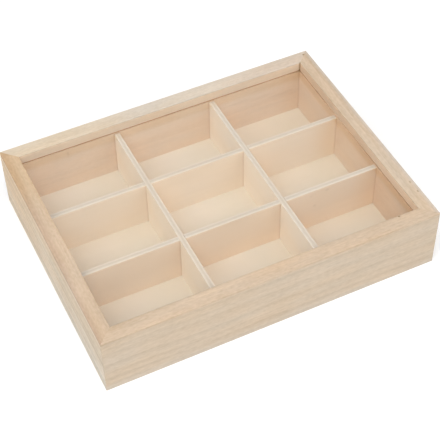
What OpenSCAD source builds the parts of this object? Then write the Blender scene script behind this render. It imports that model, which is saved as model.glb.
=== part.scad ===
// Shallow wooden box with nine equal compartments under a clear sliding lid.
// Four mitred walls stand round a thin bottom that is let in from below. Four
// dividers are half-lapped into one grid. The lid is a clear sheet in a groove
// round the inside, and slides out through a slot in the right wall.
// Origin: middle of the underside. +X right, +Y back, +Z up.

/* [Box] */
// Outside length, left to right
box_l = 300; // [240:1:380]
// Outside width, front to back
box_w = 230; // [180:1:300]
// Outside height
box_h = 60; // [50:1:90]
// Thickness of the four walls
wall_t = 13; // [11:0.5:18]
// Radius of the walls' eased edges
wall_ease = 0.5; // [0.3:0.1:1.5]
// Glue line between pieces that are glued face to face
glue_line = 0.05; // [0.02:0.01:0.1]

/* [Bottom] */
// Thickness of the bottom panel
bottom_t = 3; // [2:0.5:5]
// How far the bottom panel reaches under the walls
rebate_w = 6; // [4.5:0.5:8]
// Gap round the bottom panel in its rebate
bottom_gap = 0.2; // [0.1:0.05:0.5]

/* [Dividers] */
// Thickness of the dividers
divider_t = 5; // [3:0.5:6]
// Clearance between the dividers' top edges and the groove above them
divider_drop = 1.1; // [1:0.1:8]
// Radius of the dividers' eased top edges
divider_ease = 0.5; // [0.2:0.1:1]
// Gap on each side of a divider in the slot of the one it crosses
lap_gap = 0.1; // [0.05:0.05:0.25]

/* [Clear lid] */
// Thickness of the clear sheet
lid_t = 2; // [1.5:0.1:3]
// Radius of the sheet's corners
lid_corner = 2; // [1:0.5:3]
// Height of the wall above the groove
lip_h = 8.8; // [6.5:0.1:10]
// Depth of the groove in the walls
groove_d = 5; // [3.5:0.5:7]
// Running gap above and below the sheet
lid_gap = 0.3; // [0.2:0.05:0.5]
// Gap between the sheet's edges and the groove's bottom
lid_edge_gap = 0.5; // [0.3:0.1:1]

/* [Finger recess] */
// Radius of the recess in the right wall's outer face
recess_r = 20; // [14:1:30]
// Depth of the recess
recess_d = 6; // [5:0.5:8]
// Height of the recess below the sheet
recess_below = 7; // [5:0.5:12]
// Height of the recess above the sheet
recess_above = 5; // [4.5:0.5:6]

/* [Brads] */
// Diameter of a brad's shank
brad_d = 1.2; // [1:0.1:1.6]
// Diameter of a brad's head
brad_head_d = 2.2; // [1.8:0.1:2.8]
// Thickness of a brad's head
brad_head_t = 0.6; // [0.4:0.1:1]
// Length of a brad, head included
brad_l = 14; // [10:1:20]
// Depth of a brad's head below the underside
brad_sink = 0.2; // [0.1:0.1:0.5]
// Play round a brad in its hole
brad_play = 0.02; // [0.01:0.01:0.05]
// Number of brads into the front wall, and into the back wall
brads_long = 4; // [2:1:8]
// Number of brads into the left wall, and into the right wall
brads_short = 3; // [2:1:6]
// Distance from the box's corner to the nearest brads
brad_end = 28; // [20:1:40]

/* [Hidden] */
$fn = 48;

// How far a cut runs past the face that it leaves through
over = 1;

wall_colour = [0.87, 0.79, 0.68];
divider_colour = [0.88, 0.81, 0.72];
bottom_colour = [0.90, 0.83, 0.73];
brad_colour = [0.66, 0.66, 0.68];
lid_colour = [0.90, 0.95, 0.96, 0.25];

// Space inside the four walls
inner_l = box_l - 2 * wall_t;
inner_w = box_w - 2 * wall_t;

// Groove round the inside, and the slot that carries it out to the right
groove_h = lid_t + 2 * lid_gap;
groove_top = box_h - lip_h;
groove_low = groove_top - groove_h;
groove_w = inner_w + 2 * groove_d;

// Clear sheet, from the groove's blind end to just inside the slot's mouth
lid_x0 = lid_edge_gap + wall_t - groove_d - box_l / 2;
lid_x1 = box_l / 2 - lid_edge_gap;
lid_w = groove_w - 2 * lid_edge_gap;
lid_z = groove_low + lid_gap;

// Finger recess round the slot's mouth
recess_z = lid_z - recess_below;
recess_h = recess_below + lid_t + recess_above;

// Dividers, on the bottom panel and just clear of the sheet's groove
divider_z = bottom_t + glue_line;
divider_top = groove_low - divider_drop;
divider_h = divider_top - divider_z;
lap_z = divider_z + divider_h / 2;
lap_w = divider_t + 2 * lap_gap;
cell_l = (inner_l - 2 * divider_t) / 3;
cell_w = (inner_w - 2 * divider_t) / 3;
cross_x = (cell_l + divider_t) / 2;
cross_y = (cell_w + divider_t) / 2;

// Brads, along the middle of the rebate
brad_row_x = box_l / 2 - wall_t + rebate_w / 2;
brad_row_y = box_w / 2 - wall_t + rebate_w / 2;
brad_hole_d = brad_d + 2 * brad_play;
brad_places = concat(
    [for (side = [-1, 1], k = [0 : brads_long - 1])
        [spread(box_l / 2 - brad_end, brads_long, k), side * brad_row_y]],
    [for (side = [-1, 1], k = [0 : brads_short - 1])
        [side * brad_row_x, spread(box_w / 2 - brad_end, brads_short, k)]]
);

// Place k of count places spread evenly from -reach to reach
function spread(reach, count, k) = reach * (2 * k / (count - 1) - 1);

// What is cut off a square corner at the origin to round it
module corner_waste(r) {
    difference() {
        translate([-over, -over])
            square(r + over);
        translate([r, r])
            circle(r);
    }
}

// Rectangle whose corners marked in eased are rounded, from the origin's
// corner round anticlockwise
module eased_square(size, r, eased) {
    corners = [[0, 0], [size[0], 0], size, [0, size[1]]];
    difference() {
        square(size);
        for (k = [0 : 3])
            if (eased[k])
                translate(corners[k])
                    rotate(90 * k)
                        corner_waste(r);
    }
}

// Section of a wall, from its outer face at x = 0 to its inner face
module wall_section() {
    difference() {
        eased_square([wall_t, box_h], wall_ease, [true, false, true, true]);
        translate([wall_t - groove_d, groove_low])
            square([groove_d + over, groove_h]);
        translate([wall_t - rebate_w, -over])
            square([rebate_w + over, bottom_t + glue_line + over]);
    }
}

// Plan of a wall that lies along the front of a frame of the given length,
// with its mitres drawn back by half a glue line
module mitred_plan(length) {
    back = glue_line / sqrt(2);
    intersection() {
        translate([-length / 2, 0])
            eased_square([length, 2 * wall_t], wall_ease, [true, true, false, false]);
        polygon([
            [back - length / 2, 0],
            [length / 2 - back, 0],
            [length / 2 - wall_t - back, wall_t],
            [wall_t + back - length / 2, wall_t]
        ]);
    }
}

// Mitred wall along the front of a frame, outer face at y = 0
module mitred_wall(length) {
    intersection() {
        rotate([90, 0, 90])
            linear_extrude(length, center = true)
                wall_section();
        linear_extrude(box_h)
            mitred_plan(length);
    }
}

// Shafts of the holes for all brads, up to just past their points
module brad_holes() {
    for (place = brad_places)
        translate([place[0], place[1], -over])
            cylinder(h = over + brad_sink + brad_l + glue_line, d = brad_hole_d);
}

module front_wall() {
    color(wall_colour)
        difference() {
            translate([0, -box_w / 2, 0])
                mitred_wall(box_l);
            brad_holes();
        }
}

module back_wall() {
    color(wall_colour)
        difference() {
            rotate(180)
                translate([0, -box_w / 2, 0])
                    mitred_wall(box_l);
            brad_holes();
        }
}

module left_wall() {
    color(wall_colour)
        difference() {
            rotate(-90)
                translate([0, -box_l / 2, 0])
                    mitred_wall(box_w);
            brad_holes();
        }
}

// The groove runs out through this wall, with a finger recess at its mouth
module right_wall() {
    color(wall_colour)
        difference() {
            rotate(90)
                translate([0, -box_l / 2, 0])
                    mitred_wall(box_w);
            brad_holes();
            translate([inner_l / 2 - over, -groove_w / 2, groove_low])
                cube([wall_t + 2 * over, groove_w, groove_h]);
            translate([box_l / 2 + recess_r - recess_d, 0, recess_z])
                cylinder(h = recess_h, r = recess_r, $fn = 96);
        }
}

module bottom_panel() {
    length = inner_l + 2 * (rebate_w - bottom_gap);
    width = inner_w + 2 * (rebate_w - bottom_gap);
    color(bottom_colour)
        difference() {
            translate([-length / 2, -width / 2, 0])
                cube([length, width, bottom_t]);
            brad_holes();
            for (place = brad_places)
                translate([place[0], place[1], -over])
                    cylinder(h = over + brad_sink + brad_head_t,
                             d = brad_head_d + 2 * brad_play);
        }
}

// Upright board along X, centred on X and Y
module divider_board(length) {
    translate([0, -divider_t / 2, divider_z])
        rotate([90, 0, 90])
            linear_extrude(length - 2 * glue_line, center = true)
                eased_square([divider_t, divider_h], divider_ease,
                             [false, false, true, true]);
}

// Board from left to right, slotted from above
module long_divider(y) {
    color(divider_colour)
        translate([0, y, 0])
            difference() {
                divider_board(inner_l);
                for (x = [-cross_x, cross_x])
                    translate([x - lap_w / 2, -divider_t, lap_z - glue_line])
                        cube([lap_w, 2 * divider_t, divider_h]);
            }
}

// Board from front to back, slotted from below
module cross_divider(x) {
    color(divider_colour)
        translate([x, 0, 0])
            rotate(90)
                difference() {
                    divider_board(inner_w);
                    for (y = [-cross_y, cross_y])
                        translate([y - lap_w / 2, -divider_t, lap_z - divider_h])
                            cube([lap_w, 2 * divider_t, divider_h]);
                }
}

module front_divider() {
    long_divider(-cross_y);
}

module back_divider() {
    long_divider(cross_y);
}

module left_divider() {
    cross_divider(-cross_x);
}

module right_divider() {
    cross_divider(cross_x);
}

module clear_lid() {
    color(lid_colour)
        translate([lid_x0, -lid_w / 2, lid_z])
            linear_extrude(lid_t)
                eased_square([lid_x1 - lid_x0, lid_w], lid_corner,
                             [true, true, true, true]);
}

// Headed nails driven up through the bottom panel into the walls
module bottom_brads() {
    color(brad_colour)
        for (place = brad_places)
            translate([place[0], place[1], brad_sink]) {
                cylinder(h = brad_head_t, d = brad_head_d);
                cylinder(h = brad_l - brad_d, d = brad_d);
                translate([0, 0, brad_l - brad_d])
                    cylinder(h = brad_d, d1 = brad_d, d2 = brad_d / 4);
            }
}

front_wall();
back_wall();
left_wall();
right_wall();
bottom_panel();
front_divider();
back_divider();
left_divider();
right_divider();
clear_lid();
bottom_brads();
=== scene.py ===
import math

import bmesh
import bpy
from mathutils import Matrix, Vector


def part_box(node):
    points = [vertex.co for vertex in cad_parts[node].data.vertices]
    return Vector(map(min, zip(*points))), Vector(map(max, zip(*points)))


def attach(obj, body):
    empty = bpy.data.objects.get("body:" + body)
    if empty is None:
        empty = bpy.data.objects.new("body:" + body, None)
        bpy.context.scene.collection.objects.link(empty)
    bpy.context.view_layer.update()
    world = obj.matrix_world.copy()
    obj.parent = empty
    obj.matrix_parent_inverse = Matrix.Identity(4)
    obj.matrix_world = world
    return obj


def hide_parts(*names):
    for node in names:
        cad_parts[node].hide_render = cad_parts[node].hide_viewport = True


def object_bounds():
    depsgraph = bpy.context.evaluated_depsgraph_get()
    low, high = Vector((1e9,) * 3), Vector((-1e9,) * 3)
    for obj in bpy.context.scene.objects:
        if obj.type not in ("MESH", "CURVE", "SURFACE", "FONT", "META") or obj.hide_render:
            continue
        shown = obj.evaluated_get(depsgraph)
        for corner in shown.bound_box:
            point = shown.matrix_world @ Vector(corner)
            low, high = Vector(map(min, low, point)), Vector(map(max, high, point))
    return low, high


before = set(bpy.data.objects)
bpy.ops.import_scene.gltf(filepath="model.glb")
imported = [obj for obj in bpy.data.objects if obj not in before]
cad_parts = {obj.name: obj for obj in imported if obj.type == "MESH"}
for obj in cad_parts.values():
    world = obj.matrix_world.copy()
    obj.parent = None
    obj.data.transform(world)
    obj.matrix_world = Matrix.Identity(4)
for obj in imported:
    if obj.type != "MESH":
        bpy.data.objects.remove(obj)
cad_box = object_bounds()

MM = 0.001

# ---------------------------------------------------------------- camera

CAMERA_AT = Vector((-0.3032, -0.6592, 0.8105))
CAMERA_DIRECTION = Vector((0.2847, 0.6094, -0.7400))
CAMERA_ROLL = math.radians(-1.147)
SENSOR = 36.0
FOCAL_PIXELS = 1242.9
PHOTO_SIDE = 440
CAMERA_CLIPS = (0.05, 20.0)


def make_camera():
    data = bpy.data.cameras.new("camera")
    data.sensor_width = SENSOR
    data.lens = FOCAL_PIXELS / PHOTO_SIDE * SENSOR
    data.clip_start, data.clip_end = CAMERA_CLIPS
    camera = bpy.data.objects.new("camera", data)
    level = CAMERA_DIRECTION.to_track_quat("-Z", "Y").to_matrix().to_4x4()
    roll = Matrix.Rotation(CAMERA_ROLL, 4, "Z")
    camera.matrix_world = Matrix.Translation(CAMERA_AT) @ level @ roll
    bpy.context.scene.collection.objects.link(camera)
    bpy.context.scene.camera = camera


# ---------------------------------------------------------------- node graphs

# Middle of what a noise node gives, and the span of its noise without that
NOISE_MIDDLE = 0.5
NOISE_SPAN = (-0.5, 0.5)


class Graph:
    """A material's node tree. Most calls add nodes and return an output socket."""

    def __init__(self, name):
        self.material = bpy.data.materials.new(name)
        self.material.use_nodes = True
        self.tree = self.material.node_tree
        self.tree.nodes.clear()

    def node(self, kind, inputs=(), **settings):
        made = self.tree.nodes.new(kind)
        for key, value in settings.items():
            setattr(made, key, value)
        for key, value in dict(inputs).items():
            self.put(made.inputs[key], value)
        return made

    def put(self, socket, value):
        if isinstance(value, bpy.types.NodeSocket):
            self.tree.links.new(value, socket)
        elif socket.type == "RGBA":
            socket.default_value = (*value, 1)
        else:
            socket.default_value = value

    def place(self):
        """The point in the object's own frame, in millimetres."""
        raw = self.node("ShaderNodeTexCoord").outputs["Object"]
        return self.vector("SCALE", raw, scale=1 / MM)

    def vector(self, operation, *terms, scale=None):
        made = self.node("ShaderNodeVectorMath", operation=operation)
        for socket, value in zip(made.inputs, terms):
            self.put(socket, value)
        if scale is not None:
            self.put(made.inputs["Scale"], scale)
        kind = "Value" if operation == "LENGTH" else "Vector"
        return made.outputs[kind]

    def split(self, vector):
        made = self.node("ShaderNodeSeparateXYZ", {"Vector": vector})
        return made.outputs["X"], made.outputs["Y"], made.outputs["Z"]

    def join(self, x, y, z):
        return self.node("ShaderNodeCombineXYZ", {"X": x, "Y": y, "Z": z}).outputs["Vector"]

    def math(self, operation, *terms):
        made = self.node("ShaderNodeMath", operation=operation)
        for socket, value in zip(made.inputs, terms):
            self.put(socket, value)
        return made.outputs["Value"]

    def add(self, *terms):
        total = terms[0]
        for term in terms[1:]:
            total = self.math("ADD", total, term)
        return total

    def times(self, *terms):
        total = terms[0]
        for term in terms[1:]:
            total = self.math("MULTIPLY", total, term)
        return total

    def noise(self, vector, detail=2.0, roughness=0.5):
        """Noise with grains of about one unit, centred on zero."""
        inputs = {"Vector": vector, "Scale": 1.0, "Detail": detail, "Roughness": roughness}
        raw = self.node("ShaderNodeTexNoise", inputs).outputs["Fac"]
        return self.math("SUBTRACT", raw, NOISE_MIDDLE)

    def drift(self, value, detail=1.0):
        """Noise along one number, centred on zero."""
        inputs = {"W": value, "Scale": 1.0, "Detail": detail}
        made = self.node("ShaderNodeTexNoise", inputs, noise_dimensions="1D")
        return self.math("SUBTRACT", made.outputs["Fac"], NOISE_MIDDLE)

    def chance(self, value):
        """A different number from 0 to 1 for each whole number."""
        inputs = {"W": value}
        made = self.node("ShaderNodeTexWhiteNoise", inputs, noise_dimensions="1D")
        return made.outputs["Value"]

    def smooth(self, value, low, high, to_low=0.0, to_high=1.0):
        inputs = {"Value": value, "From Min": low, "From Max": high,
                  "To Min": to_low, "To Max": to_high}
        made = self.node("ShaderNodeMapRange", inputs, interpolation_type="SMOOTHSTEP")
        return made.outputs["Result"]

    def rise(self, value, span):
        """Zero before the span, one after it."""
        return self.smooth(value, *span)

    def fall(self, value, span):
        """One before the span, zero after it."""
        return self.smooth(value, *span, 1.0, 0.0)

    def band(self, value, spans):
        """One between two spans, the first rising and the second falling."""
        start, full, last, end = spans
        return self.times(self.rise(value, (start, full)), self.fall(value, (last, end)))

    def blend(self, factor, first, second):
        made = self.node("ShaderNodeMix", data_type="RGBA")
        self.put(made.inputs["Factor"], factor)
        colours = [socket for socket in made.inputs if socket.type == "RGBA"]
        for socket, value in zip(colours, (first, second)):
            self.put(socket, value)
        return next(socket for socket in made.outputs if socket.type == "RGBA")

    def bump(self, height, distance):
        inputs = {"Height": height, "Distance": distance}
        return self.node("ShaderNodeBump", inputs).outputs["Normal"]

    def finish(self, shader):
        out = self.node("ShaderNodeOutputMaterial")
        self.put(out.inputs["Surface"], shader)
        return self.material


def tone(red, green, blue):
    """A colour given in 0 to 255 sRGB, as the shaders take it."""

    def linear(value):
        value /= 255
        return value / 12.92 if value <= 0.04045 else ((value + 0.055) / 1.055) ** 2.4

    return linear(red), linear(green), linear(blue)


# ---------------------------------------------------------------- solid wood

WOOD_SPECULAR = 0.3
WOOD_IOR = 1.45
GRAIN_TINT = (0.40, 0.46, 0.56)
WARM_TINT = (0.02, -0.01, -0.05)

# Distance along the timber between the places that boards of following seeds are cut from
SEED_STEP = 731.0

# Noise in timber: waves per millimetre along and across the grain, detail, roughness
TIMBER = {
    "sway": (0.006, 0.01, 1.0, 0.5),
    "wobble": (0.03, 0.12, 1.0, 0.5),
    "lines": (0.010, 0.85, 3.0, 0.6),
    "fibre": (0.05, 3.6, 3.0, 0.6),
    "cells": (0.11, 2.4, 1.0, 0.5),
    "cloud": (0.025, 0.07, 2.0, 0.5),
    "warmth": (0.016, 0.06, 2.0, 0.5),
    "flecks": (0.24, 0.62, 2.0, 0.5),
}

# Growth rings: how far they sway and wobble, and how their spacing drifts with the radius
SWAY_HEIGHT = 14.0
WOBBLE_HEIGHT = 2.2
DRIFT_WAVES = 0.05
DRIFT_RINGS = 2.0

# Spans of a ring, from 0 to 1, in which the late wood darkens and ends and the early
# wood ends, and how bold the faintest and the boldest rings are
LATE_START = (0.30, 0.86)
LATE_END = (0.90, 1.0)
EARLY_END = (0.05, 0.55)
RING_BOLDNESS = (0.3, 1.0)

# Pores: how far the cells' noise has to rise for one, and how open they are in late wood
PORE_SPAN = (0.13, 0.24)
LATE_PORES = 0.25

# How much each layer of the timber lightens, raises and roughens its surface
TIMBER_SHADE = {"late": -0.15, "lines": 0.28, "fibre": 0.16, "pores": -0.16, "flecks": 0.42,
                "cloud": 0.25}
TIMBER_RELIEF = {"fibre": 0.6, "late": 0.25, "pores": -0.9}
TIMBER_ROUGHENING = {"fibre": 0.3, "late": -0.08}
TIMBER_ROUGHNESS = 0.62
TIMBER_WARMTH = 4.0
TIMBER_BUMP = 0.05 * MM

# Share of a mark's radii at which its edge starts to fade
MARK_CORE = 0.3


def along_grain(g, place, turn, seed):
    """The point's coordinates along, across and up a board that runs along X or Y."""
    turned = g.node("ShaderNodeMapping", {
        "Vector": place, "Rotation": (0, 0, math.radians(-turn))}).outputs["Vector"]
    along, across, up = g.split(turned)
    return g.add(along, seed * SEED_STEP), across, up


def grain_noise(g, axes, kinds):
    """The named kinds of noise, each drawn out along the grain."""
    along, across, up = axes
    layers = {}
    for name, (long, fine, detail, roughness) in kinds.items():
        stretched = g.join(g.times(along, long), g.times(across, fine), g.times(up, fine))
        layers[name] = g.noise(stretched, detail, roughness)
    return layers


def weighted(g, layers, weights):
    """The sum of the layers, each times its weight."""
    return g.add(*(g.times(layers[name], weight) for name, weight in weights.items()))


def growth_rings(g, axes, layers, pith, spacing, slope):
    """How dark the late wood is, and how open the early wood, of rings round the pith."""
    along, across, up = axes
    sway = g.times(layers["sway"], SWAY_HEIGHT)
    wobble = g.times(layers["wobble"], WOBBLE_HEIGHT)
    sideways = g.math("SUBTRACT", across, pith[0])
    upwards = g.add(up, -pith[1], g.times(along, slope), sway, wobble)
    radius = g.vector("LENGTH", g.join(0.0, sideways, upwards))
    drift = g.times(g.drift(g.times(radius, DRIFT_WAVES)), DRIFT_RINGS)
    count = g.add(g.math("DIVIDE", radius, spacing), drift)
    phase = g.math("FRACT", count)
    boldness = g.smooth(g.chance(g.math("FLOOR", count)), 0.0, 1.0, *RING_BOLDNESS)
    late = g.times(g.rise(phase, LATE_START), g.fall(phase, LATE_END), boldness)
    return late, g.fall(phase, EARLY_END)


def grained(g, base, shade, warmth):
    """The base colour, lighter and darker by shade, warmer and cooler by warmth."""
    lighter = g.vector("MULTIPLY_ADD", shade, GRAIN_TINT, (1, 1, 1))
    warmer = g.vector("MULTIPLY_ADD", warmth, WARM_TINT, (1, 1, 1))
    return g.vector("MULTIPLY", g.vector("MULTIPLY", base, lighter), warmer)


def tinted(g, colour, *changes):
    """The colour, changed by each tint as far as its mask goes from zero to one."""
    total = (1, 1, 1)
    for mask, tint in changes:
        total = g.vector("MULTIPLY_ADD", mask, tint, total)
    return g.vector("MULTIPLY", colour, total)


def spots(g, place, marks):
    """How dark the small marks are: each has a centre, radii and a depth."""
    total = 0.0
    for centre, radii, depth in marks:
        away = g.vector("DIVIDE", g.vector("SUBTRACT", place, centre), radii)
        total = g.add(total, g.smooth(g.vector("LENGTH", away), MARK_CORE, 1.0, depth, 0.0))
    return total


def bare_wood(g, colour, roughness, relief, distance):
    """The finished material, bumpy by relief times distance."""
    shader = g.node("ShaderNodeBsdfPrincipled", {
        "Base Color": colour, "Roughness": roughness, "IOR": WOOD_IOR,
        "Specular IOR Level": WOOD_SPECULAR, "Normal": g.bump(relief, distance)})
    return g.finish(shader.outputs["BSDF"])


def wood(name, turn, seed, pith, spacing, slope, colour, figure, marks=()):
    """Pale sanded timber. colour and figure take the graph and the point, and
    return the base colour and how bold the grain is."""
    g = Graph(name)
    place = g.place()
    axes = along_grain(g, place, turn, seed)
    layers = grain_noise(g, axes, TIMBER)
    late, early = growth_rings(g, axes, layers, pith, spacing, slope)
    layers["late"] = late
    layers["pores"] = g.times(g.rise(layers["cells"], PORE_SPAN), g.add(LATE_PORES, early))
    shade = g.times(weighted(g, layers, TIMBER_SHADE), figure(g, place))
    shade = g.math("SUBTRACT", shade, spots(g, place, marks))
    warmth = g.times(layers["warmth"], TIMBER_WARMTH)
    roughness = g.add(TIMBER_ROUGHNESS, weighted(g, layers, TIMBER_ROUGHENING))
    return bare_wood(g, grained(g, colour(g, place), shade, warmth), roughness,
                     weighted(g, layers, TIMBER_RELIEF), TIMBER_BUMP)


# ---------------------------------------------------------------- places on the box

# The box's faces, and its walls' inner faces
RIGHT, BACK, TOP = (value / MM for value in cad_box[1])
LEFT, FRONT = (value / MM for value in cad_box[0][:2])
WALL = 13.0
INSIDE_X = RIGHT - WALL
INSIDE_Y = BACK - WALL

# Groove for the sheet, round the inside
SHEET_GAP = 0.3
SHEET_LOW, SHEET_HIGH = (corner[2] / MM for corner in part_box("clear_lid"))
GROOVE_LOW = SHEET_LOW - SHEET_GAP
GROOVE_TOP = SHEET_HIGH + SHEET_GAP
GROOVE_DEPTH = 5.0

# Compartments along and across the box, each with the divider after it
IN_A_ROW = 3
DIVIDER = 5.0
PITCH_X = (2 * INSIDE_X + DIVIDER) / IN_A_ROW
PITCH_Y = (2 * INSIDE_Y + DIVIDER) / IN_A_ROW


def from_edge(edge, *steps):
    """Coordinates that lie the given steps from an edge."""
    return tuple(edge + step for step in steps)


def past_inside(g, value, inside):
    """How far a point lies beyond the pair of inner faces at this distance from the middle."""
    return g.add(g.math("ABSOLUTE", value), -inside)


def into_walls(g, x, y):
    """How far a point is into the walls from their inner faces."""
    return g.math("MAXIMUM", past_inside(g, x, INSIDE_X), past_inside(g, y, INSIDE_Y))


def into_compartment(g, value, inside, pitch):
    """How far a point is from its compartment's left or front end."""
    return g.times(g.math("FRACT", g.math("DIVIDE", g.add(value, inside), pitch)), pitch)


# ---------------------------------------------------------------- colours up a wall

# Painted shade on the faces inside the groove
GROOVE_SHADE = tone(208, 155, 113)

# Outer faces of the back and right walls
OUTSIDE = tone(214, 196, 173)

# Heights between which a wall's colour changes to its top edge's, near the outer face
# and near the inner face, and the distances into the wall between which those merge
OUTER_RIM = from_edge(TOP, -2.5, -1.2)
INNER_RIM = from_edge(TOP, -0.8, -0.3)
RIM_CHANGE = (5.0, 8.0)

# How bright the top edge is along the inside, a painted shade against the highlight on its
# rounding, and how far that reaches
EDGE_SHADING = 0.93
EDGE_SHADING_WIDTH = 2.2

# Soft limits: the foot of the lip, and the groove's mouth in the end walls and in the
# long walls, its back, its floor and its roof
LIP_START = from_edge(GROOVE_TOP, -0.3, 0.2)
GROOVE_MOUTH_X = (0.15, 0.45)
GROOVE_MOUTH_Y = (0.6, 1.1)
GROOVE_BACK = from_edge(GROOVE_DEPTH, 0.1, 0.5)
GROOVE_FLOOR = from_edge(GROOVE_LOW, -0.05, -0.01)
GROOVE_ROOF = from_edge(GROOVE_TOP, 0.01, 0.05)

# Distances into a wall between which the grain goes over to its outer face's boldness
OUTER_GRAIN = (GROOVE_DEPTH + 1.0, WALL - 1.0)


def in_groove(g, x, y, z):
    """One on the faces inside the groove, otherwise zero."""
    past_x = past_inside(g, x, INSIDE_X)
    past_y = past_inside(g, y, INSIDE_Y)
    mouth = g.math("MAXIMUM", g.rise(past_x, GROOVE_MOUTH_X), g.rise(past_y, GROOVE_MOUTH_Y))
    return g.times(mouth, g.fall(past_x, GROOVE_BACK), g.fall(past_y, GROOVE_BACK),
                   g.rise(z, GROOVE_FLOOR), g.fall(z, GROOVE_ROOF))


def by_height(g, place, side, lip, rim, groove=GROOVE_SHADE, edge_shading=EDGE_SHADING, shading_width=EDGE_SHADING_WIDTH):
    """Colours up a wall: its face, the groove darkened by painted shade, the lip and the top
    edge, which along the inside is painted darker as shade where its factor is below one and
    lighter as light where it is above one."""
    x, y, z = g.split(place)
    into = into_walls(g, x, y)
    # The rim's inside strip: painted shade below one, painted light above one
    rim = g.vector("SCALE", rim, scale=g.smooth(into, 0.0, shading_width, edge_shading, 1.0))
    colour = g.blend(g.rise(z, LIP_START), side, lip)
    low = g.smooth(into, *RIM_CHANGE, INNER_RIM[0], OUTER_RIM[0])
    high = g.smooth(into, *RIM_CHANGE, INNER_RIM[1], OUTER_RIM[1])
    colour = g.blend(g.rise(z, (low, high)), colour, rim)
    # The groove's painted shade
    return g.blend(in_groove(g, x, y, z), colour, groove)


def bold(inside, outside, rim):
    """Boldness of the grain on a wall's inner face, outer face and top edge."""

    def figure(g, place):
        x, y, z = g.split(place)
        side = g.smooth(into_walls(g, x, y), *OUTER_GRAIN, inside, outside)
        return g.smooth(z, *OUTER_RIM, side, rim)

    return figure


# ---------------------------------------------------------------- faces in a compartment

# Painted light in a paler patch at the left of a face that looks to the front: how far it
# reaches from the compartment's left end and from the floor, what is left of it above that,
# and its tint
PATCH_PAST = (3.0, 36.0)
PATCH_Z = (0.0, 46.0)
PATCH_ABOVE = 0.35
PATCH_TINT = (0.15, 0.12, 0.10)

# Darker joint at the compartment's right end
JOINT_PAST = from_edge(PITCH_X - DIVIDER, -1.5, -0.3)
JOINT_TINT = (-0.10, -0.14, -0.18)

# Painted shade towards the right wall, which makes the faces darker and yellower
YELLOW_X = from_edge(INSIDE_X, -28.0, -2.0)
YELLOW_TINT = (-0.01, -0.06, -0.15)

# Painted light near the floor, on faces that look to the front and on those that look to the
# left
FRONT_GLOW_Z = (4.0, 28.0)
FRONT_GLOW_PAST = (12.0, 20.0)
LEFT_GLOW_Z = (4.0, 22.0)
LEFT_GLOW_PAST = (14.0, 36.0)
LEFT_GLOW_TINT = (0.02, 0.06, 0.11)


def facing_front(g, place, face, glow):
    """The colour of a face that looks to the front: paler low down at the left of each
    compartment by painted light, darker in the joint at its right, darker and yellower
    towards the right wall by painted shade, and paler by painted light near the floor."""
    x, _, z = g.split(place)
    past = into_compartment(g, x, INSIDE_X, PITCH_X)
    # Painted light low down at the left of the compartment
    patch = g.times(g.fall(past, PATCH_PAST), g.smooth(z, *PATCH_Z, 1.0, PATCH_ABOVE))
    low = g.times(g.fall(z, FRONT_GLOW_Z), g.rise(past, FRONT_GLOW_PAST))
    return tinted(g, face,
                  (patch, PATCH_TINT),
                  (g.rise(past, JOINT_PAST), JOINT_TINT),
                  (g.rise(x, YELLOW_X), YELLOW_TINT),
                  (low, glow))


def facing_left(g, place, face):
    """The colour of a face that looks to the left, paler near the floor by painted light."""
    _, y, z = g.split(place)
    past = into_compartment(g, y, INSIDE_Y, PITCH_Y)
    low = g.times(g.fall(z, LEFT_GLOW_Z), g.rise(past, LEFT_GLOW_PAST))
    return tinted(g, face, (low, LEFT_GLOW_TINT))


# ---------------------------------------------------------------- front wall

FRONT_FACE = tone(206, 188, 166)
FRONT_RIM = tone(201, 179, 155)
# The greyer foot is painted light bounced off the white floor
FRONT_FOOT_Z = (2.5, 7.5)
FRONT_FOOT_TINT = (0.0, 0.04, 0.10)
FRONT_LINE_Y = from_edge(FRONT, 6.5, 9.0, 10.4, 11.8)
FRONT_LINE_X = (-60.0, 60.0)
FRONT_LINE_TINT = (0.055, 0.055, 0.055)
# Painted shade along the rim's inside, widest towards the right
FRONT_SHADING_X = (0.0, 80.0)
FRONT_SHADING_RIGHT = 5.0


def front_colour(g, place):
    """Greyer along the foot, a painted light off the white floor. The rim has a pale line on
    the left, and painted shade along its inside that is widest towards the right."""
    x, y, z = g.split(place)
    side = tinted(g, FRONT_FACE, (g.fall(z, FRONT_FOOT_Z), FRONT_FOOT_TINT))
    line = g.times(g.band(y, FRONT_LINE_Y), g.fall(x, FRONT_LINE_X))
    rim = tinted(g, FRONT_RIM, (line, FRONT_LINE_TINT))
    shading_width = g.smooth(x, *FRONT_SHADING_X, EDGE_SHADING_WIDTH, FRONT_SHADING_RIGHT)
    return by_height(g, place, side, side, rim, shading_width=shading_width)


# ---------------------------------------------------------------- back wall

BACK_FACE = tone(227, 201, 174)
# Painted light near the floor on the inner face
BACK_GLOW_TINT = (0.035, 0.035, 0.035)
# The lip above the groove, painted lighter as light
BACK_LIP = tone(231, 211, 189)
BACK_OUTSIDE_Y = (INSIDE_Y + 1.0, BACK - 1.0)

# The rim on the left, and in the middle and on the right from its inner to its outer edge
BACK_RIM_LEFT = tone(213, 196, 173)
BACK_RIM_MIDDLE = (tone(213, 201, 186), tone(208, 195, 179))
BACK_RIM_RIGHT = (tone(213, 198, 183), tone(204, 189, 173))
BACK_RIM_Y = (INSIDE_Y + 3.0, BACK - 2.0)
BACK_LEFT_X = (-90.0, -10.0)
BACK_RIGHT_X = (30.0, 110.0)


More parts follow.
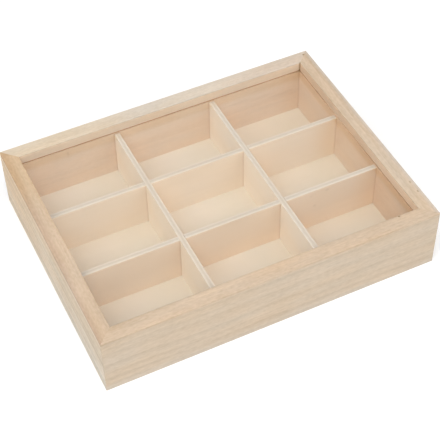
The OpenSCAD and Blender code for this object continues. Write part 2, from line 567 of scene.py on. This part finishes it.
def back_colour(g, place):
    """The rim is yellower on the left and greyer on the right, most of all outside."""
    x, y, _ = g.split(place)
    across = g.rise(y, BACK_RIM_Y)
    middle = g.blend(across, *BACK_RIM_MIDDLE)
    right = g.blend(across, *BACK_RIM_RIGHT)
    rim = g.blend(g.rise(x, BACK_LEFT_X), BACK_RIM_LEFT, middle)
    rim = g.blend(g.rise(x, BACK_RIGHT_X), rim, right)
    outside = g.rise(y, BACK_OUTSIDE_Y)
    inner = facing_front(g, place, BACK_FACE, BACK_GLOW_TINT)
    side = g.blend(outside, inner, OUTSIDE)
    lip = g.blend(outside, BACK_LIP, OUTSIDE)
    return by_height(g, place, side, lip, rim)


# ---------------------------------------------------------------- left wall

# The rim from its outer edge inwards near the front and near the back, where its tan
# edge starts and ends, and the dull line near its inner edge
LEFT_RIM_FRONT = (tone(190, 165, 142), tone(202, 179, 154))
LEFT_RIM_BACK = (tone(191, 160, 126), tone(202, 175, 143))
LEFT_FRONT_Y = (-60.0, -10.0)
LEFT_BACK_Y = (15.0, 85.0)
LEFT_TAN_START = from_edge(LEFT, 0.5, 2.0)
LEFT_TAN_END = from_edge(LEFT, 6.0, 8.0)
LEFT_TAN_BACK = from_edge(LEFT, 2.0, 9.5)
LEFT_DULL_X = from_edge(LEFT, 9.0, 11.0)
LEFT_DULL_TINT = (-0.05, -0.05, -0.05)

# The outer face from front to back, low down and high up, and the bands along it
LEFT_LOW = (tone(213, 200, 181), tone(214, 194, 168))
LEFT_HIGH = (tone(214, 195, 170), tone(222, 197, 166))
LEFT_FACE_Y = (-60.0, 100.0)
LEFT_FACE_Z = (10.0, 56.0)
LEFT_BANDS = [
    ((4.0, 6.5, 9.0, 13.0), (-0.08, -0.06, -0.02)),
    ((14.0, 20.0, 24.0, 30.0), (0.045, 0.04, 0.04)),
    ((33.0, 39.0, 47.0, 51.0), (-0.065, -0.06, -0.05)),
]
# The greyer foot is painted light bounced off the white floor
LEFT_FOOT_Z = (4.0, 6.5)
LEFT_FOOT_TINT = (0.0, 0.02, 0.05)
# Painted light along the rim's inside, against the shade on its rounding
LEFT_EDGE_SHADING = 1.35
LEFT_EDGE_SHADING_WIDTH = 0.6


def left_rim(g, x, y):
    """Tan along the outer edge, most of all towards the back, and dull towards the
    front along the inner edge."""
    start = g.smooth(y, *LEFT_FRONT_Y, *LEFT_TAN_START)
    end = g.smooth(y, *LEFT_FRONT_Y, *LEFT_TAN_END)
    front = g.blend(g.rise(x, (start, end)), *LEFT_RIM_FRONT)
    dull = g.times(g.fall(y, LEFT_FRONT_Y), g.rise(x, LEFT_DULL_X))
    front = tinted(g, front, (dull, LEFT_DULL_TINT))
    back = g.blend(g.rise(x, LEFT_TAN_BACK), *LEFT_RIM_BACK)
    return g.blend(g.rise(y, LEFT_BACK_Y), front, back)


def left_colour(g, place):
    """The face has two dull bands and a pale one along it, and a greyer foot, a painted light
    off the white floor. The rim's inside is painted lighter, as light.
    """
    x, y, z = g.split(place)
    to_back = g.rise(y, LEFT_FACE_Y)
    low = g.blend(to_back, *LEFT_LOW)
    high = g.blend(to_back, *LEFT_HIGH)
    bands = [(g.band(z, spans), tint) for spans, tint in LEFT_BANDS]
    foot = (g.fall(z, LEFT_FOOT_Z), LEFT_FOOT_TINT)
    side = tinted(g, g.blend(g.rise(z, LEFT_FACE_Z), low, high), foot, *bands)
    return by_height(g, place, side, side, left_rim(g, x, y),
                     edge_shading=LEFT_EDGE_SHADING, shading_width=LEFT_EDGE_SHADING_WIDTH)


# ---------------------------------------------------------------- right wall

# The rim from front to back, its greyer outer edge and the dull line along its middle
RIGHT_RIM = (tone(208, 188, 165), tone(205, 183, 159))
RIGHT_RIM_Y = (-40.0, 80.0)
RIGHT_RIM_EDGE = tone(196, 178, 158)
RIGHT_EDGE_X = from_edge(RIGHT, -4.5, -2.0)
RIGHT_GREY_X = from_edge(RIGHT, -3.2, -1.8)
RIGHT_GREY_TINT = (0.03, 0.06, 0.12)
RIGHT_LINE_X = from_edge(RIGHT, -12.0, -10.5, -8.5, -7.0)
RIGHT_LINE_Y = (20.0, 50.0)
RIGHT_LINE_TINT = (-0.05, -0.05, -0.05)
# The rim's inside is painted neither darker nor lighter here
RIGHT_EDGE_SHADING = 1.0

# The inner face from front to back, low down and high up
RIGHT_LOW = (tone(226, 194, 160), tone(229, 201, 170))
RIGHT_HIGH = (tone(219, 185, 151), tone(225, 194, 162))
RIGHT_FACE_Y = (-60.0, 10.0)
RIGHT_FACE_Z = (33.0, 45.0)
RIGHT_OUTSIDE_X = (INSIDE_X + 1.0, RIGHT - 1.0)

# The lip from front to back, painted lighter as light, and more so towards its top
RIGHT_LIP = (tone(236, 210, 184), tone(224, 198, 172))
RIGHT_LIP_Y = (-80.0, 10.0)
RIGHT_LIP_Z = from_edge(TOP, -3.5, -0.5)
RIGHT_LIP_TINT = (0.13, 0.13, 0.13)

# The groove's painted shade at the front, in the middle, where it is faint, and at the back
RIGHT_GROOVE_FRONT = tone(214, 175, 143)
RIGHT_GROOVE_MIDDLE = tone(238, 203, 171)
RIGHT_GROOVE_BACK = tone(214, 173, 140)
RIGHT_GROOVE_FRONT_Y = (-20.0, 15.0)
RIGHT_GROOVE_BACK_Y = (30.0, 70.0)


def right_rim(g, x, y):
    """Darker towards the back, with a dull line along its middle, and greyer outside."""
    rim = g.blend(g.rise(y, RIGHT_RIM_Y), *RIGHT_RIM)
    rim = g.blend(g.rise(x, RIGHT_EDGE_X), rim, RIGHT_RIM_EDGE)
    line = g.times(g.band(x, RIGHT_LINE_X), g.fall(y, RIGHT_LINE_Y))
    return tinted(g, rim, (line, RIGHT_LINE_TINT), (g.rise(x, RIGHT_GREY_X), RIGHT_GREY_TINT))


def right_colour(g, place):
    """Darker inside towards the front and the top. The lip is painted lighter as light, and
    the groove darker as shade.
    """
    x, y, z = g.split(place)
    to_back = g.rise(y, RIGHT_FACE_Y)
    low = g.blend(to_back, *RIGHT_LOW)
    high = g.blend(to_back, *RIGHT_HIGH)
    inner = facing_left(g, place, g.blend(g.rise(z, RIGHT_FACE_Z), low, high))
    lip = g.blend(g.rise(y, RIGHT_LIP_Y), *RIGHT_LIP)
    lip = tinted(g, lip, (g.rise(z, RIGHT_LIP_Z), RIGHT_LIP_TINT))
    outside = g.rise(x, RIGHT_OUTSIDE_X)
    side = g.blend(outside, inner, OUTSIDE)
    lip = g.blend(outside, lip, OUTSIDE)
    groove = g.blend(g.rise(y, RIGHT_GROOVE_FRONT_Y), RIGHT_GROOVE_FRONT, RIGHT_GROOVE_MIDDLE)
    groove = g.blend(g.rise(y, RIGHT_GROOVE_BACK_Y), groove, RIGHT_GROOVE_BACK)
    return by_height(g, place, side, lip, right_rim(g, x, y), groove, edge_shading=RIGHT_EDGE_SHADING)


# ---------------------------------------------------------------- plywood

# Noise in peeled veneer: waves per millimetre along and across it, detail, roughness
VENEER = {
    "broad": (0.012, 0.07, 2.0, 0.5),
    "lines": (0.014, 0.6, 3.0, 0.6),
    "fibre": (0.07, 3.2, 3.0, 0.6),
    "cells": (0.16, 0.9, 1.0, 0.5),
    "warmth": (0.013, 0.03, 1.0, 0.5),
}
FLECK_SPAN = (0.24, 0.31)

# How much each layer of the veneer lightens, raises and roughens its surface
VENEER_SHADE = {"broad": 0.15, "lines": 0.10, "fibre": 0.08, "flecks": -0.12}
VENEER_RELIEF = {"fibre": 0.6, "flecks": -0.6}
VENEER_ROUGHENING = {"fibre": 0.25}
VENEER_ROUGHNESS = 0.55
VENEER_WARMTH = 2.5
VENEER_BUMP = 0.04 * MM

# Layers that show on a divider's edges, and their limits from its middle
VENEER_EDGE = tone(216, 200, 182)
CORE_EDGE = tone(203, 187, 167)
CORE_LIMIT = (0.85, 1.15)
FACE_LIMIT = (2.32, 2.48)

# The bottom, and its tints at the left and the right of a compartment and by the right wall;
# the warmer left is painted light bounced off the wood beside it
BOTTOM_FACE = tone(219, 205, 186)
BOTTOM_LEFT_PAST = (10.0, 40.0)
BOTTOM_LEFT_TINT = (0.04, 0.02, -0.01)
BOTTOM_RIGHT_PAST = (40.0, 70.0)
BOTTOM_RIGHT_TINT = (-0.03, -0.015, -0.03)
BOTTOM_YELLOW_X = (55.0, 85.0)
BOTTOM_YELLOW_TINT = (0.0, -0.01, -0.035)


def veneer(name, turn, seed, colour, marks=()):
    """Smooth, faintly figured face of peeled plywood."""
    g = Graph(name)
    place = g.place()
    layers = grain_noise(g, along_grain(g, place, turn, seed), VENEER)
    layers["flecks"] = g.rise(layers["cells"], FLECK_SPAN)
    shade = g.math("SUBTRACT", weighted(g, layers, VENEER_SHADE), spots(g, place, marks))
    warmth = g.times(layers["warmth"], VENEER_WARMTH)
    roughness = g.add(VENEER_ROUGHNESS, weighted(g, layers, VENEER_ROUGHENING))
    return bare_wood(g, grained(g, colour(g, place), shade, warmth), roughness,
                     weighted(g, layers, VENEER_RELIEF), VENEER_BUMP)


def edged(g, across, middle, face):
    """Face veneer, and on the edges two pale veneers with a darker core between them."""
    away = g.math("ABSOLUTE", g.add(across, -middle))
    layers = g.blend(g.fall(away, CORE_LIMIT), VENEER_EDGE, CORE_EDGE)
    return g.blend(g.fall(away, FACE_LIMIT), face, layers)


def long_divider_colour(middle, face, glow):
    """Colour of a divider from left to right, whose middle lies at this Y."""

    def colour(g, place):
        _, y, _ = g.split(place)
        return edged(g, y, middle, facing_front(g, place, face, glow))

    return colour


def cross_divider_colour(middle, face):
    """Colour of a divider from front to back, whose middle lies at this X."""

    def colour(g, place):
        x, _, _ = g.split(place)
        return edged(g, x, middle, facing_left(g, place, face))

    return colour


def bottom_colour(g, place):
    """Warmer at the left of each compartment by painted light off the wood beside it, and
    yellower towards the right wall.
    """
    x, _, _ = g.split(place)
    past = into_compartment(g, x, INSIDE_X, PITCH_X)
    return tinted(g, BOTTOM_FACE,
                  (g.fall(past, BOTTOM_LEFT_PAST), BOTTOM_LEFT_TINT),
                  (g.rise(past, BOTTOM_RIGHT_PAST), BOTTOM_RIGHT_TINT),
                  (g.rise(x, BOTTOM_YELLOW_X), BOTTOM_YELLOW_TINT))


# ---------------------------------------------------------------- steel and clear sheet

STEEL_DULL = tone(150, 150, 154)
STEEL_BRIGHT = tone(196, 196, 200)
STEEL_ROUGHNESS = (0.25, 0.45)
SCRATCH_WAVES = 3.0
SCRATCH_SPAN = (-0.2, 0.2)

SHEET_IOR = 1.49
SHEET_TINT = (0.97, 0.98, 0.98)
SHEET_ROUGHNESS = (0.0, 0.04)
SMEAR_WAVES = (0.03, 0.05, 0.05)
SMEAR_SPAN = (-0.1, 0.25)


def steel():
    """Bright steel with fine scratches."""
    g = Graph("brad_steel")
    scratch = g.noise(g.vector("SCALE", g.place(), scale=SCRATCH_WAVES), detail=3.0)
    shader = g.node("ShaderNodeBsdfPrincipled", {
        "Base Color": g.blend(g.rise(scratch, SCRATCH_SPAN), STEEL_DULL, STEEL_BRIGHT),
        "Metallic": 1.0,
        "Roughness": g.smooth(scratch, *SCRATCH_SPAN, *STEEL_ROUGHNESS)})
    return g.finish(shader.outputs["BSDF"])


def acrylic():
    """Clear sheet that lets the lamps through to what lies under it."""
    g = Graph("clear_sheet")
    smear = g.noise(g.vector("MULTIPLY", g.place(), SMEAR_WAVES), detail=3.0)
    glass = g.node("ShaderNodeBsdfPrincipled", {
        "Base Color": (1, 1, 1), "Transmission Weight": 1.0, "IOR": SHEET_IOR,
        "Roughness": g.smooth(smear, *SMEAR_SPAN, *SHEET_ROUGHNESS)})
    through = g.node("ShaderNodeBsdfTransparent", {"Color": SHEET_TINT})
    path = g.node("ShaderNodeLightPath")
    lamp = g.math("MAXIMUM", path.outputs["Is Shadow Ray"], path.outputs["Is Diffuse Ray"])
    both = g.node("ShaderNodeMixShader", {"Fac": lamp})
    g.put(both.inputs[1], glass.outputs["BSDF"])
    g.put(both.inputs[2], through.outputs["BSDF"])
    return g.finish(both.outputs["Shader"])


# ---------------------------------------------------------------- the box

# Small marks in the wood: centre, radii, depth
CORNER_MARKS = [
    ((145.1, 110.6, 60.0), (1.3, 1.3, 1.5), 1.3),
    ((137.0, 102.0, 56.0), (1.7, 1.7, 8.0), 0.9),
    # This mark darkens the corner where the grooves meet, a painted shade like the groove's
    ((137.0, 102.0, 50.4), (3.4, 2.6, 2.4), 1.0),
]
BACK_MARKS = [
    ((-93.5, 102.0, 43.5), (1.8, 2.0, 3.5), 0.22),
    ((75.0, 102.0, 35.0), (22.0, 2.0, 2.6), 0.12),
    ((95.0, 102.0, 32.5), (20.0, 2.0, 2.6), 0.12),
    ((118.0, 102.0, 28.5), (22.0, 2.0, 2.6), 0.12),
]
RIGHT_MARKS = [
    ((146.8, -85.4, 60.0), (0.9, 1.7, 1.0), 0.9),
    ((146.6, -73.6, 60.0), (1.1, 1.9, 1.0), 0.7),
]
FRONT_MARKS = [((118.0, -102.9, 60.0), (1.2, 1.2, 1.0), 1.3)]
DIVIDER_MARKS = [
    ((88.5, -37.3, 43.0), (2.6, 1.5, 1.7), 0.24),
    ((77.0, -37.3, 28.5), (2.3, 1.5, 2.1), 0.22),
    ((73.0, -37.3, 41.5), (2.2, 1.5, 1.6), 0.14),
    ((118.0, -37.3, 6.5), (3.0, 1.5, 1.6), 0.12),
]

# Dividers from left to right: seed, face, painted light near the floor, marks
LONG_DIVIDERS = {
    "front_divider": (5, tone(236, 212, 185), (0.06, 0.055, 0.05), DIVIDER_MARKS),
    "back_divider": (6, tone(238, 219, 195), (0.0, 0.01, 0.02), ()),
}

# Dividers from front to back: seed, face
CROSS_DIVIDERS = {
    "left_divider": (7, tone(248, 232, 209)),
    "right_divider": (8, tone(245, 229, 207)),
}
BOTTOM_SEED = 9

# Turns of boards that run from left to right and from front to back
ALONG_X = 0
ALONG_Y = 90


def dress(node, material):
    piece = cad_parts[node]
    piece.data.materials.clear()
    piece.data.materials.append(material)
    for polygon in piece.data.polygons:
        polygon.material_index = 0


def middle_of(node, axis):
    """Middle of a node along X or Y, in millimetres."""
    low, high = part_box(node)
    return (low[axis] + high[axis]) / 2 / MM


def dress_walls():
    dress("front_wall", wood(
        "front_wood", ALONG_X, seed=1, pith=(-98, -64), spacing=9.0, slope=0.004,
        colour=front_colour, figure=bold(inside=1.45, outside=1.45, rim=1.9),
        marks=FRONT_MARKS))
    dress("back_wall", wood(
        "back_wood", ALONG_X, seed=2, pith=(150, 110), spacing=10.0, slope=-0.010,
        colour=back_colour, figure=bold(inside=0.65, outside=1.7, rim=1.4),
        marks=CORNER_MARKS + BACK_MARKS))
    dress("left_wall", wood(
        "left_wood", ALONG_Y, seed=3, pith=(120, -70), spacing=8.0, slope=0.008,
        colour=left_colour, figure=bold(inside=2.8, outside=2.8, rim=1.7)))
    dress("right_wall", wood(
        "right_wood", ALONG_Y, seed=4, pith=(-260, 190), spacing=9.0, slope=0.06,
        colour=right_colour, figure=bold(inside=0.8, outside=1.7, rim=1.8),
        marks=CORNER_MARKS + RIGHT_MARKS))


def dress_dividers():
    for node, (seed, face, glow, marks) in LONG_DIVIDERS.items():
        colour = long_divider_colour(middle_of(node, 1), face, glow)
        dress(node, veneer(node + "_ply", ALONG_X, seed, colour, marks))
    for node, (seed, face) in CROSS_DIVIDERS.items():
        colour = cross_divider_colour(middle_of(node, 0), face)
        dress(node, veneer(node + "_ply", ALONG_Y, seed, colour))


LID_CORNER = 2.0 * MM
LID_CHAMFER = 0.25 * MM
CORNER_STEPS = 8


def lid_outline(low, high, inset, z):
    """Corners of the sheet's rounded plan, drawn in by inset, anticlockwise."""
    radius = LID_CORNER - inset
    centres = [(high.x, high.y), (low.x, high.y), (low.x, low.y), (high.x, low.y)]
    signs = [(-1, -1), (1, -1), (1, 1), (-1, 1)]
    points = []
    for quarter, (centre, sign) in enumerate(zip(centres, signs)):
        x = centre[0] + sign[0] * LID_CORNER
        y = centre[1] + sign[1] * LID_CORNER
        for step in range(CORNER_STEPS + 1):
            angle = math.pi / 2 * (quarter + step / CORNER_STEPS)
            points.append((x + radius * math.cos(angle), y + radius * math.sin(angle), z))
    return points


def make_lid():
    """The clear sheet, with its sawn edges broken by a small chamfer."""
    low, high = (Vector(corner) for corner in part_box("clear_lid"))
    levels = [(LID_CHAMFER, low.z), (0.0, low.z + LID_CHAMFER),
              (0.0, high.z - LID_CHAMFER), (LID_CHAMFER, high.z)]
    shape = bmesh.new()
    loops = [[shape.verts.new(point) for point in lid_outline(low, high, inset, z)]
             for inset, z in levels]
    shape.faces.new(reversed(loops[0]))
    shape.faces.new(loops[-1])
    for lower, upper in zip(loops, loops[1:]):
        for k in range(len(lower)):
            after = (k + 1) % len(lower)
            shape.faces.new((lower[k], lower[after], upper[after], upper[k]))
    mesh = bpy.data.meshes.new("lid_sheet")
    shape.to_mesh(mesh)
    shape.free()
    mesh.materials.append(acrylic())
    sheet = bpy.data.objects.new("lid_sheet", mesh)
    bpy.context.scene.collection.objects.link(sheet)
    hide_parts("clear_lid")
    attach(sheet, "lid")


# ---------------------------------------------------------------- stage and light

FLOOR_SIDE = 12.0
FLOOR_DROP = 0.2 * MM
FLOOR_SPECKS = 0.002
FLOOR_TONES = (tone(220, 220, 220), tone(224, 224, 224))
WORLD_STRENGTH = 0.168
BACKGROUND_STRENGTH = 1.0

# The floor's own glow near the box, and the distances from the box between which it
# rises to the background's white
FLOOR_GLOW = 0.3
FLOOR_NEAR = 1.2
FLOOR_FAR = 3.0

LAMP_DISTANCE = 3.2
LAMP_SIDE = 2.9

# Softboxes: direction from the box, power in watts
SOFTBOXES = {
    "key": (Vector((-0.33, -0.38, 0.865)), 81.0),
    "right": (Vector((0.55, -0.60, 0.58)), 46.0),
    "left": (Vector((-0.85, -0.35, 0.40)), 22.0),
    "top": (Vector((0.0, 0.0, 1.0)), 14.5),
    "back": (Vector((-0.60, 0.50, 0.62)), 17.0),
}


def background_seen(tree):
    """One for rays from the camera, from gloss and through glass, otherwise zero."""
    path = tree.nodes.new("ShaderNodeLightPath")
    seen = path.outputs["Is Camera Ray"]
    for name in ("Is Glossy Ray", "Is Transmission Ray"):
        either = tree.nodes.new("ShaderNodeMath")
        either.operation = "MAXIMUM"
        tree.links.new(seen, either.inputs[0])
        tree.links.new(path.outputs[name], either.inputs[1])
        seen = either.outputs["Value"]
    return seen


def make_floor():
    g = Graph("floor_white")
    place = g.place()
    speck = g.rise(g.noise(g.vector("SCALE", place, scale=FLOOR_SPECKS)), NOISE_SPAN)
    matt = g.node("ShaderNodeBsdfDiffuse", {"Color": g.blend(speck, *FLOOR_TONES)})
    away = g.vector("LENGTH", place)
    rising = g.smooth(away, FLOOR_NEAR / MM, FLOOR_FAR / MM, FLOOR_GLOW, BACKGROUND_STRENGTH)
    glow = g.node("ShaderNodeEmission", {
        "Strength": g.times(background_seen(g.tree), rising)})
    lit = g.node("ShaderNodeAddShader")
    g.put(lit.inputs[0], matt.outputs["BSDF"])
    g.put(lit.inputs[1], glow.outputs["Emission"])
    reach = FLOOR_SIDE / 2
    mesh = bpy.data.meshes.new("floor")
    corners = [(x * reach, y * reach, -FLOOR_DROP)
               for x, y in ((-1, -1), (1, -1), (1, 1), (-1, 1))]
    mesh.from_pydata(corners, [], [(0, 1, 2, 3)])
    mesh.materials.append(g.finish(lit.outputs["Shader"]))
    floor = bpy.data.objects.new("floor", mesh)
    bpy.context.scene.collection.objects.link(floor)


def make_world():
    """Even light, and a plain white background for what the camera sees."""
    world = bpy.data.worlds.new("studio")
    bpy.context.scene.world = world
    world.use_nodes = True
    tree = world.node_tree
    tree.nodes.clear()
    both = tree.nodes.new("ShaderNodeMixShader")
    tree.links.new(background_seen(tree), both.inputs[0])
    for slot, strength in ((1, WORLD_STRENGTH), (2, BACKGROUND_STRENGTH)):
        light = tree.nodes.new("ShaderNodeBackground")
        light.inputs["Color"].default_value = (1, 1, 1, 1)
        light.inputs["Strength"].default_value = strength
        tree.links.new(light.outputs["Background"], both.inputs[slot])
    out = tree.nodes.new("ShaderNodeOutputWorld")
    tree.links.new(both.outputs["Shader"], out.inputs["Surface"])


def make_softbox(name, direction, power):
    """A large square lamp. The camera, gloss and glass see the background in its place."""
    data = bpy.data.lights.new(name, "AREA")
    data.shape = "SQUARE"
    data.size = LAMP_SIDE
    data.energy = power
    lamp = bpy.data.objects.new(name, data)
    lamp.location = direction.normalized() * LAMP_DISTANCE
    lamp.rotation_euler = direction.to_track_quat("Z", "Y").to_euler()
    lamp.visible_camera = False
    lamp.visible_glossy = False
    lamp.visible_transmission = False
    bpy.context.scene.collection.objects.link(lamp)


make_camera()
make_world()
for lamp_name, (lamp_direction, lamp_power) in SOFTBOXES.items():
    make_softbox(lamp_name, lamp_direction, lamp_power)
make_floor()
dress_walls()
dress_dividers()
dress("bottom_panel", veneer("bottom_ply", ALONG_X, BOTTOM_SEED, bottom_colour))
dress("bottom_brads", steel())
make_lid()
bpy.context.scene.view_settings.view_transform = "Standard"
